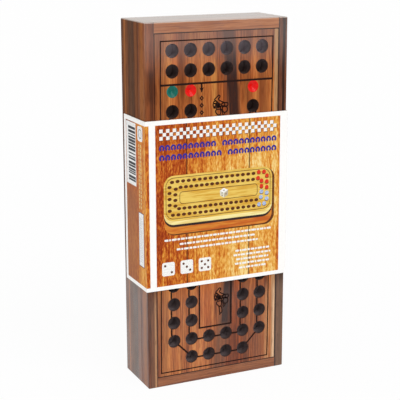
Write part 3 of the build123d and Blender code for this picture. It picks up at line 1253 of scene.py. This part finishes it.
@dataclass
class CardWrap:
    """The folded card: its printed planks, white edges and the shapes printed over them."""

    print_x: Spot = mm(-43.8, 45.1)
    fold_print_x: float = -48.2 * MM
    flap_border: float = 3.2 * MM
    border_top: float = 2.9 * MM
    border_bottom: float = 2.6 * MM
    edge_soft: float = 0.05 * MM
    rim_depth: Spot = mm(0.42, 0.38)
    skin: float = 0.1 * MM
    joints: Spot = mm(-22.3, 22.6)
    joint_edges: Spot = mm(0.6, 0.25)
    joint_share: float = 0.85
    # Where the print grows darker beside its right border.
    worn_edge: Spot = mm(42.6, 44)
    base_tone: float = 0.28
    flap_tone: float = 0.27
    flap_glow: float = 0.24
    flap_grain: float = 0.85
    dull_share: float = 0.7
    inks: Stops = (
        (0.00, (0.26, 0.030, 0.004)), (0.25, (0.46, 0.085, 0.010)), (0.50, (0.66, 0.240, 0.028)),
        (0.75, (0.78, 0.420, 0.085)), (1.00, (0.88, 0.660, 0.270)),
    )
    rust_stops: Stops = ((0.3, (0.25, 0.085, 0.023)), (0.7, (0.43, 0.185, 0.070)))
    white_stops: Stops = ((0.2, (0.91, 0.90, 0.88)), (0.8, (0.96, 0.95, 0.93)))
    board_stops: Stops = ((0.3, (0.50, 0.46, 0.40)), (0.7, (0.62, 0.58, 0.51)))
    plank_joint: Colour = (0.065, 0.020, 0.008)
    flap_shade: Colour = (0.13, 0.038, 0.012)

    STREAK, SPECK, CLOUD = (430.0, 430.0, 15.0), (1300.0, 1300.0, 420.0), (75.0, 75.0, 26.0)
    STREAK_SHARE, SPECK_SHARE, CLOUD_SHARE = 1.15, 1.3, 0.8
    FIBRE, RIPPLE, RUST = (700.0, 700.0, 700.0), (26.0, 26.0, 18.0), (900.0, 900.0, 60.0)

    def __post_init__(self) -> None:
        """Finds the card's faces in the frame."""
        self.low, self.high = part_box("card_front")
        left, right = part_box("card_flap_left"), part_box("card_flap_right")
        self.rear_y, self.fold_y = left[1].y, left[0].y
        self.front = Face((0.0, self.low.y, 0.0), (1.0, 0.0, 0.0))
        self.left = Face((left[0].x, 0.0, 0.0), (0.0, -1.0, 0.0))
        self.right = Face((right[1].x, 0.0, 0.0), (0.0, 1.0, 0.0))

    def _print_grain(self, shader: Shader, seed: float) -> Value:
        """The printed wood's unevenness: streaks, specks and broad clouds, added up.

        Args:
            shader: the material being built.
            seed: where in the noise it lies.

        Returns:
            A value about zero.
        """
        streak = shader.noise(self.STREAK, seed, 4.0, 0.65) - 0.5
        speck = shader.noise(self.SPECK, seed + 1, 2.0) - 0.5
        cloud = shader.noise(self.CLOUD, seed + 2, 3.0) - 0.5
        return streak * self.STREAK_SHARE + speck * self.SPECK_SHARE + cloud * self.CLOUD_SHARE

    def _planks(self, shader: Shader) -> bpy.types.NodeSocket:
        """Three printed planks: rust and amber at the left, golden and paler to the right.

        Args:
            shader: the material being built.

        Returns:
            The print's colour.
        """
        across, _, up = shader.place()
        beyond = across.rise(*mm(-24, -20))
        shares = (
            (0.16, beyond),  # the middle and right planks are paler
            (0.26, across.rise(*mm(-22, 32))),  # and paler still towards the right
            (-0.18, up.rise(*mm(148, 176)) * beyond),  # but darker at their head
            (-0.28, across.rise(*self.worn_edge)),  # and beside the right border
            (-0.08, up.rise(*mm(112, 138)) * (1 - beyond)),  # the left plank's upper part
            (0.24, across.rise(self.print_x[0], self.fold_print_x)),  # round the left fold
            (0.14, across.rise(*mm(10, 40)) * up.within(*mm(104, 150, 8))),  # by the picture
            (0.06, up.rise(*mm(104, 92)) * across.within(*mm(-22, 22, 3))),  # the low middle
        )
        tone = self.base_tone
        for share, mask in shares:
            tone = tone + mask * share
        colour = shader.ramp(tone + self._print_grain(shader, 51.0), self.inks)
        for joint in self.joints:
            mask = abs(across - joint).rise(*self.joint_edges)
            colour = shader.mix(mask * self.joint_share, colour, self.plank_joint)
        return colour

    def _laminate(
        self, shader: Shader, colour: bpy.types.NodeSocket, printed: Value, outside: Value
    ) -> bpy.types.Material:
        """White card with a printed area under a thin gloss, and plain board behind.

        Args:
            shader: the material being built.
            colour: the print's colour.
            printed: where the print lies.
            outside: the side that is laminated.

        Returns:
            The material.
        """
        fibres = shader.noise(self.FIBRE, 6.0, 3.0)
        ripple = shader.noise(self.RIPPLE, 7.0, 1.0)
        backing = shader.ramp(fibres, self.board_stops)
        face = shader.mix(printed, shader.ramp(fibres, self.white_stops), colour)
        return shader.finish(
            Base_Color=shader.mix(outside, backing, face),
            Roughness=0.8 - outside * 0.34,
            Normal=shader.relief(ripple, 0.35 * MM, 0.5),
            Specular_IOR_Level=0.06,
            Coat_Weight=outside * 0.06,
            Coat_Roughness=0.15,
        )

    def _rows(self, shader: Shader) -> Value:
        """The height of the print, between the white borders at its top and foot."""
        limits = (self.low.z + self.border_bottom, self.high.z - self.border_top)
        return shader.along(Z).within(*limits, soft=self.edge_soft)

    def _front_card(self) -> bpy.types.Material:
        """The front: print between white bands, and the flap's print round the left fold.

        Returns:
            The material.
        """
        shader = Shader("card_front_print")
        across, depth, _ = shader.place()
        middle = across.within(*self.print_x, soft=self.edge_soft)
        printed = (middle | (across < self.fold_print_x)) & self._rows(shader)
        outside = depth.rise(*(self.low.y + rim for rim in self.rim_depth))
        return self._laminate(shader, self._planks(shader), printed, outside)

    def _flap_card(self, name: str, outer_x: float, seed: float) -> bpy.types.Material:
        """A flap: ruddy print that turns orange at the fold, and a white border at the rear.

        Args:
            name: the material's name.
            outer_x: where the flap's printed side lies.
            seed: where in the noise the print lies.

        Returns:
            The material.
        """
        shader = Shader(name)
        across, depth, up = shader.place()
        limits = (self.fold_y - MM, self.rear_y - self.flap_border)
        printed = depth.within(*limits, soft=self.edge_soft) & self._rows(shader)
        outside = abs(across - outer_x) < self.skin
        tone = self.flap_tone + depth.rise(*mm(-4, -16)) * self.flap_glow
        tone = tone + self._print_grain(shader, seed) * self.flap_grain
        colour = shader.ramp(tone, self.inks)
        rust = shader.noise(self.RUST, seed + 4, 3.0)
        dull = depth.rise(*mm(-16, 0)) * up.rise(*mm(146, 124))
        colour = shader.mix(dull * self.dull_share, colour, shader.ramp(rust, self.rust_stops))
        shaded = up.rise(*mm(171, 176)) * depth.rise(*mm(-12, 8))
        colour = shader.mix(shaded * self.dull_share, colour, self.flap_shade)
        return self._laminate(shader, colour, printed, outside)

    def dress(self) -> None:
        """Finishes the three panels of the card and prints the shapes on them."""
        paint(("card_front",), self._front_card())
        paint(("card_flap_left",), self._flap_card("flap_left_print", self.left.origin[0], 57.0))
        right_card = self._flap_card("flap_right_print", self.right.origin[0], 63.0)
        paint(("card_flap_right",), right_card)
        FrontPrint(self.front).make()
        FlapPrint(self.left).make()


@dataclass
class FrontPrint:
    """Shapes over the planks: a chequered band, horseshoes, a racetrack and small signs."""

    face: Face
    band_x: Spot = mm(-41.0, 42.2)
    band_z: Spot = mm(166.4, 173.4)
    band_rows: int = 3
    band_shadow: Spot = mm(0.4, -0.4)
    shoe_rows: Spot = mm(161.2, 154.8)
    shoe_radius: float = 1.3 * MM
    shoe_pitch: float = 4.0 * MM
    shoe_pen: float = 1.2 * MM
    shoe_margin: float = 1.6 * MM
    shoe_stretch: Spot = (0.95, 1.15)
    rule_rows: tuple[tuple[float, ...], ...] = (
        mm(100.7, -38.2, 39.0),
        mm(97.3, -27.5, 27.3),
        mm(93.9, -29.7, 29.3),
        mm(87.6, 12.6, 38.0),
        mm(84.6, 11.4, 39.0),
        mm(81.6, 13.4, 37.4),
        mm(78.6, 12.4, 38.2),
        mm(75.6, 15.4, 35.4),
    )
    dash_lengths: tuple[float, ...] = mm(2.7, 1.3, 3.4, 1.9)
    dash_gap: float = 0.55 * MM
    dash_height: float = 1.35 * MM
    shortest_dash: float = 0.5 * MM
    sign_middles: tuple[float, ...] = mm(-35.6, -22.6, -9.6)
    sign_z: float = 81.4 * MM
    sign_size: float = 8.9 * MM
    sign_corner: float = 1.3 * MM
    pip_radius: float = 0.8 * MM
    pip_step: float = 0.26

    def _chequers(self, white: Inlay, shadow: Inlay) -> None:
        """A band of white squares, each with a thin dark shadow, like a racing flag.

        Args:
            white: where the squares go.
            shadow: where their shadows go.
        """
        low, high = self.band_z
        side = (high - low) / self.band_rows
        start, end = self.band_x
        count = round((end - start) / side)
        step = (end - start) / count
        for column in range(count):
            for row in range(column % 2, self.band_rows, 2):
                middle = np.array([start + (column + 0.5) * step, low + (row + 0.5) * side])
                white.panel(middle, (step, side))
                shadow.panel(middle + self.band_shadow, (step, side))

    def _horseshoes(self, blue: Inlay) -> None:
        """Two rows of horseshoes, with a gap near the middle of each.

        Args:
            blue: where they go.
        """
        start, end = self.band_x
        count = int((end - start) / self.shoe_pitch)
        open_below = (-0.35 * math.pi, 1.35 * math.pi)
        shoe = arc(self.shoe_radius, *open_below, 14) * self.shoe_stretch
        for row, up in enumerate(self.shoe_rows):
            for index in range(count + 1):
                if index != count // 2 + row:
                    across = start + self.shoe_margin + index * self.shoe_pitch
                    blue.stroke(shoe + (across, up), self.shoe_pen)

    def _rules(self, white: Inlay) -> None:
        """Rows of small white dashes, in an even rhythm of long and short.

        Args:
            white: where they go.
        """
        for up, start, end in self.rule_rows:
            across, index = start, 0
            while across < end - self.shortest_dash:
                length = min(self.dash_lengths[index % len(self.dash_lengths)], end - across)
                size = (length, self.dash_height)
                white.panel((across + length / 2, up), size, self.dash_height / 3)
                across += length + self.dash_gap
                index += 1

    def _signs(self, white: Inlay, dark: Inlay) -> None:
        """Three white squares that show two, three and five pips.

        Args:
            white: where the squares go.
            dark: where the pips go.
        """
        step = self.sign_size * self.pip_step
        corners = [(-1, 1), (1, -1), (1, 1), (-1, -1)]
        faces = (corners[:2], corners[:2] + [(0, 0)], corners + [(0, 0)])
        for across, pips in zip(self.sign_middles, faces):
            middle = np.array([across, self.sign_z])
            white.panel(middle, (self.sign_size, self.sign_size * 1.02), self.sign_corner)
            for pip in pips:
                dark.disc(middle + np.array(pip) * step, self.pip_radius, 14)

    def make(self) -> None:
        """Prints everything, one mesh for each ink and layer."""
        white, dark = Inlay(self.face, layer=5), Inlay(self.face, layer=6)
        shadow, blue = Inlay(self.face, layer=0), Inlay(self.face, layer=1)
        self._chequers(white, shadow)
        self._horseshoes(blue)
        self._rules(white)
        self._signs(white, dark)
        PrintedTrack(self.face).make(white, dark)
        white.ink("print_white", (0.95, 0.94, 0.91), "card")
        shadow.ink("print_shadow", (0.16, 0.045, 0.018), "card")
        blue.ink("print_blue", (0.040, 0.032, 0.30), "card")
        dark.ink("print_dark", (0.120, 0.036, 0.013), "card")


@dataclass
class PrintedTrack:
    """The picture of a toy racetrack: a golden board over an orange box, with pegs and a die."""

    face: Face
    middle: Spot = mm(0.6, 128.0)
    size: Spot = mm(78.0, 30.0)
    corner: float = 7.0 * MM
    least_corner: float = 2.0 * MM
    box_drop: float = 8.6 * MM
    gap_drop: float = 4.0 * MM
    edge_drop: float = 2.4 * MM
    shadow_shift: Spot = mm(1.2, -0.9)
    rim_inset: float = 1.5 * MM
    pen: float = 0.35 * MM
    lane_inset: Spot = mm(4.0, 8.0)
    lane_holes: tuple[int, int] = (46, 40)
    hole: float = 1.45 * MM
    hole_squash: float = 0.75
    field_margin: float = 3.1 * MM
    peg_radius: float = 1.4 * MM
    peg_lift: float = 0.7 * MM
    peg_reach: float = 0.36
    die_shift: Spot = mm(3.4, 0.8)
    die_pip: float = 0.38 * MM
    level_grain: Colour = (60.0, 900.0, 700.0)

    # The die's three faces and its pips, in millimetres.
    DIE_TOP = ((-2.9, 1.0), (0.2, -0.7), (3.1, 1.0), (0.0, 2.7))
    DIE_LEFT = ((-2.9, 1.0), (-2.6, -2.2), (0.2, -3.9), (0.2, -0.7))
    DIE_RIGHT = ((0.2, -0.7), (0.2, -3.9), (3.0, -2.2), (3.1, 1.0))
    DIE_PIPS = ((0.1, 1.0), (-1.3, -0.6), (-1.2, -2.2), (1.6, -1.4))

    def _shape(self, inset: float = 0.0) -> np.ndarray:
        """The board's outline, drawn in by an inset, about the picture's middle."""
        size = np.array(self.size) - 2 * inset
        return rounded(size, max(self.corner - inset, self.least_corner), 8)

    def _slabs(self) -> None:
        """Prints the flat areas from the back forwards, each with printed grain."""
        whole = self._shape()
        drops = (self.box_drop, self.gap_drop, self.edge_drop)
        box, gap, edge = (swept_down(whole, drop) for drop in drops)
        shadow = box * (1.012, 1.0) + self.shadow_shift
        areas = (
            ("print_track_shade", shadow, (0.15, 0.050, 0.016), (0.10, 0.030, 0.010)),
            ("print_track_box", box, (0.66, 0.24, 0.035), (0.52, 0.110, 0.018)),
            ("print_track_gap", gap, (0.050, 0.026, 0.020), (0.030, 0.020, 0.018)),
            ("print_track_edge", edge, (0.90, 0.78, 0.36), (0.80, 0.60, 0.20)),
            ("print_track_top", whole, (0.80, 0.57, 0.13), (0.66, 0.36, 0.045)),
        )
        for layer, (name, outline, colour, shade) in enumerate(areas):
            inlay = Inlay(self.face, layer)
            inlay.polygon(outline + self.middle)
            inlay.ink(name, colour, "card", shade=shade, grain=self.level_grain)

    def make(self, white: Inlay, dark: Inlay) -> None:
        """Prints the picture from the back forwards.

        Args:
            white: where its white shapes go.
            dark: where its lines and holes go.
        """
        self._slabs()
        dark.stroke(self._shape(self.rim_inset) + self.middle, self.pen, closed=True)
        for inset, count in zip(self.lane_inset, self.lane_holes):
            for point in spread(self._shape(inset), count):
                dark.disc(point + self.middle, self.hole, 14, self.hole_squash)
        infield = self._shape(self.lane_inset[1] + self.field_margin)
        dark.stroke(infield + self.middle, self.pen, closed=True)
        self._pegs()
        self._die(white)

    def _pegs(self) -> None:
        """Red and pale blue pegs standing in the right-hand end of the lanes."""
        red, blue = (Inlay(self.face, layer=7) for _ in range(2))
        for inset, count in zip(self.lane_inset, self.lane_holes):
            lane = spread(self._shape(inset), count)
            for across, up in lane[lane[:, 0] > self.size[0] * self.peg_reach]:
                place = np.array([across, up + self.peg_lift]) + self.middle
                (red if up > 0 else blue).disc(place, self.peg_radius, 16)
        red.ink("print_red", (0.74, 0.060, 0.025), "card", shade=(0.62, 0.020, 0.012))
        blue.ink("print_pale_blue", (0.52, 0.66, 0.86), "card", shade=(0.24, 0.28, 0.52))

    def _die(self, white: Inlay) -> None:
        """A white die seen at an angle on the field, with its shaded sides and pips.

        Args:
            white: where its top goes.
        """
        place = np.array(self.middle) + self.die_shift
        light, deep, pips = (Inlay(self.face, layer=layer) for layer in (5, 5, 8))
        faces = ((white, self.DIE_TOP), (light, self.DIE_LEFT), (deep, self.DIE_RIGHT))
        for inlay, outline in faces:
            inlay.polygon(np.array(outline) * MM + place)
        for spot in self.DIE_PIPS:
            pips.disc(np.array(spot) * MM + place, self.die_pip, 10)
        light.ink("print_die_side", (0.80, 0.77, 0.62), "card")
        deep.ink("print_die_shade", (0.58, 0.50, 0.36), "card")
        pips.ink("print_die_pips", (0.10, 0.02, 0.02), "card")


@dataclass
class FlapPrint:
    """The left flap's shapes: a generic stripe code, blank labels and columns of dashes."""

    face: Face
    code_u: Spot = mm(-11.0, 5.3)
    code_z: Spot = mm(134.4, 175.4)
    code_side_margins: Spot = mm(3.6, 0.8)
    code_end_margins: Spot = mm(2.6, 3.6)
    unit_bar: float = 0.42 * MM
    small_label: tuple[float, ...] = mm(12.6, 170.1, 8.4, 9.6)
    small_corners: Spot = mm(1.8, 1.2)
    low_label: tuple[float, ...] = mm(12.9, 100.8, 7.6, 35.2)
    low_corner: float = 0.3 * MM
    rim: float = 0.9 * MM
    mark_pen: float = 0.45 * MM
    tick_columns: Spot = mm(-1.3, 0.7)
    tick_margin: float = 3 * MM
    tick_pitch: float = 1.5 * MM
    tick_size: Spot = mm(0.22, 1.0)
    dash_columns: Spot = mm(10.6, 13.4)
    dash_z: Spot = mm(121.5, 162.0)
    dash_pitch: float = 2.5 * MM
    dash_lift: float = 0.8 * MM
    dash_size: Spot = mm(1.1, 1.9)
    seed: int = 12

    def _stripe_code(self, white: Inlay, dark: Inlay) -> None:
        """A white label with level stripes of random width.

        Args:
            white: where the label goes.
            dark: where the stripes go.
        """
        middle = (sum(self.code_u) / 2, sum(self.code_z) / 2)
        size = (self.code_u[1] - self.code_u[0], self.code_z[1] - self.code_z[0])
        white.panel(middle, size)
        draw = np.random.default_rng(self.seed)
        left = self.code_u[0] + self.code_side_margins[0]
        right = self.code_u[1] - self.code_side_margins[1]
        up = self.code_z[0] + self.code_end_margins[0]
        while up < self.code_z[1] - self.code_end_margins[1]:
            bar, gap = draw.integers((2, 1), (5, 4)) * self.unit_bar
            dark.panel(((left + right) / 2, up + bar / 2), (right - left, bar))
            up += bar + gap

    def _labels(self, white: Inlay, dark: Inlay, rim: Inlay) -> None:
        """A small label with a rounded mark, and a tall one with a rim and rows of ticks.

        Args:
            white: where the labels go.
            dark: where the mark and the ticks go.
            rim: where the rim goes.
        """
        across, up, width, height = self.small_label
        corner, mark_corner = self.small_corners
        white.panel((across, up), (width, height), corner)
        mark = rounded((width / 2, height * 0.56), mark_corner) + (across, up)
        dark.stroke(mark, self.mark_pen, closed=True)
        across, up, width, height = self.low_label
        rim.panel((across, up), (width + self.rim, height + self.rim), self.rim / 2)
        white.panel((across, up), (width, height), self.low_corner)
        first, last = up - height / 2 + self.tick_margin, up + height / 2 - self.tick_margin
        for row in np.arange(first, last, self.tick_pitch):
            for shift in self.tick_columns:
                dark.panel((across + shift, row), self.tick_size)

    def _columns(self, cream: Inlay) -> None:
        """Two upright columns of small dashes.

        Args:
            cream: where they go.
        """
        for across in self.dash_columns:
            for up in np.arange(*self.dash_z, self.dash_pitch):
                cream.panel((across, up + self.dash_lift), self.dash_size)

    def make(self) -> None:
        """Prints the flap, one mesh for each ink and layer."""
        white, dark, cream, rim = (Inlay(self.face, layer=layer) for layer in (1, 2, 1, 0))
        self._stripe_code(white, dark)
        self._labels(white, dark, rim)
        self._columns(cream)
        white.ink("flap_white", (0.93, 0.93, 0.92), "flap_left")
        dark.ink("flap_dark", (0.030, 0.030, 0.035), "flap_left")
        cream.ink("flap_cream", (0.82, 0.68, 0.32), "flap_left")
        rim.ink("flap_rim", (0.060, 0.045, 0.11), "flap_left")


@dataclass(frozen=True)
class Sun:
    """A broad lamp far away."""

    name: str
    towards: Colour
    strength: float
    spread: float

    def hang(self) -> None:
        """Adds the lamp, turned so that it shines from its direction."""
        data = bpy.data.lights.new(self.name, "SUN")
        data.energy = self.strength
        data.angle = math.radians(self.spread)
        lamp = bpy.data.objects.new(self.name, data)
        lamp.rotation_euler = Vector(self.towards).to_track_quat("Z", "Y").to_euler()
        bpy.context.scene.collection.objects.link(lamp)


@dataclass
class Studio:
    """Plain pale floor and surround, two broad lamps and the camera."""

    azimuth: float = -24.7169
    elevation: float = 14.0548
    roll: float = -0.1345
    distance: float = 753.0 * MM
    shift_right: float = -3.133 * MM
    shift_up: float = -0.940 * MM
    focal_px: float = 1127.73
    image_px: float = 400.0
    sensor_mm: float = 36.0
    aim_z: float = 120.0 * MM
    ambient: float = 0.45
    floor_colour: Colour = (0.92, 0.92, 0.92)
    floor_glow: float = 0.95
    floor_reach: float = 6.0
    lamps: tuple[Sun, ...] = (
        Sun("key", (0.20, -0.70, 0.68), 1.60, 40.0),
        Sun("fill", (-0.95, -0.12, 0.28), 1.10, 60.0),
    )

    def _axes(self) -> tuple[Vector, Vector, Vector]:
        """Turns the camera's angles into directions, with its roll.

        Returns:
            The directions to its right, up and back.
        """
        turn, lift = math.radians(self.azimuth), math.radians(self.elevation)
        level_back = (math.sin(turn) * math.cos(lift), -math.cos(turn) * math.cos(lift))
        back = Vector((*level_back, math.sin(lift)))
        level = Vector((math.cos(turn), math.sin(turn), 0.0))
        up = back.cross(level)
        roll = math.radians(self.roll)
        right = level * math.cos(roll) + up * math.sin(roll)
        return right, back.cross(right), back

    def camera(self) -> None:
        """Stands the camera where the photograph was taken from."""
        right, up, back = self._axes()
        data = bpy.data.cameras.new("camera")
        data.sensor_width = self.sensor_mm
        data.lens = self.focal_px / self.image_px * self.sensor_mm
        camera = bpy.data.objects.new("camera", data)
        turn = Matrix((right, up, back)).transposed().to_4x4()
        place = Vector((0, 0, self.aim_z)) + back * self.distance
        place += right * self.shift_right + up * self.shift_up
        camera.matrix_world = Matrix.Translation(place) @ turn
        bpy.context.scene.collection.objects.link(camera)
        bpy.context.scene.camera = camera

    def world(self) -> None:
        """A dim surround that the camera, gloss and glass see as white."""
        world = bpy.data.worlds.new("surround")
        world.use_nodes = True
        sheet = Nodes(world.node_tree)
        strength = sheet.seen() * (1 - self.ambient) + self.ambient
        glow = sheet.node("ShaderNodeBackground", inputs={"Color": WHITE, "Strength": strength})
        sheet.node("ShaderNodeOutputWorld", inputs={"Surface": glow.outputs[0]})
        bpy.context.scene.world = world

    def floor(self) -> None:
        """A wide pale floor under the standing end."""
        mesh = bpy.data.meshes.new("floor")
        corners = np.array([(-1, -1, 0), (1, -1, 0), (1, 1, 0), (-1, 1, 0)], float)
        mesh.from_pydata(corners * self.floor_reach, [], [(0, 1, 2, 3)])
        floor = bpy.data.objects.new("floor", mesh)
        bpy.context.scene.collection.objects.link(floor)
        shader = Shader("floor_paint")
        mesh.materials.append(shader.finish(Base_Color=self.floor_colour, Roughness=0.7))
        glow = shader.node("ShaderNodeEmission", inputs={"Color": WHITE})
        layers = {
            0: shader.seen() * self.floor_glow,
            1: shader.surface.outputs["BSDF"],
            2: glow.outputs[0],
        }
        blend = shader.node("ShaderNodeMixShader", inputs=layers)
        shader.feed(shader.output.inputs["Surface"], blend.outputs[0])

    def build(self) -> None:
        """Sets up everything round the object."""
        self.camera()
        self.world()
        self.floor()
        for lamp in self.lamps:
            lamp.hang()
        bpy.context.scene.view_settings.view_transform = "Standard"


def main() -> None:
    """Builds every sub-assembly in order."""
    logging.basicConfig(level=logging.INFO)
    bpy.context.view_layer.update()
    Studio().build()
    for assembly in (RaceBoard(), LidFrame(), Tray(), PlayingPieces(), CardWrap()):
        log.info("dressing %s", type(assembly).__name__)
        assembly.dress()


if __name__ == "__main__":
    main()
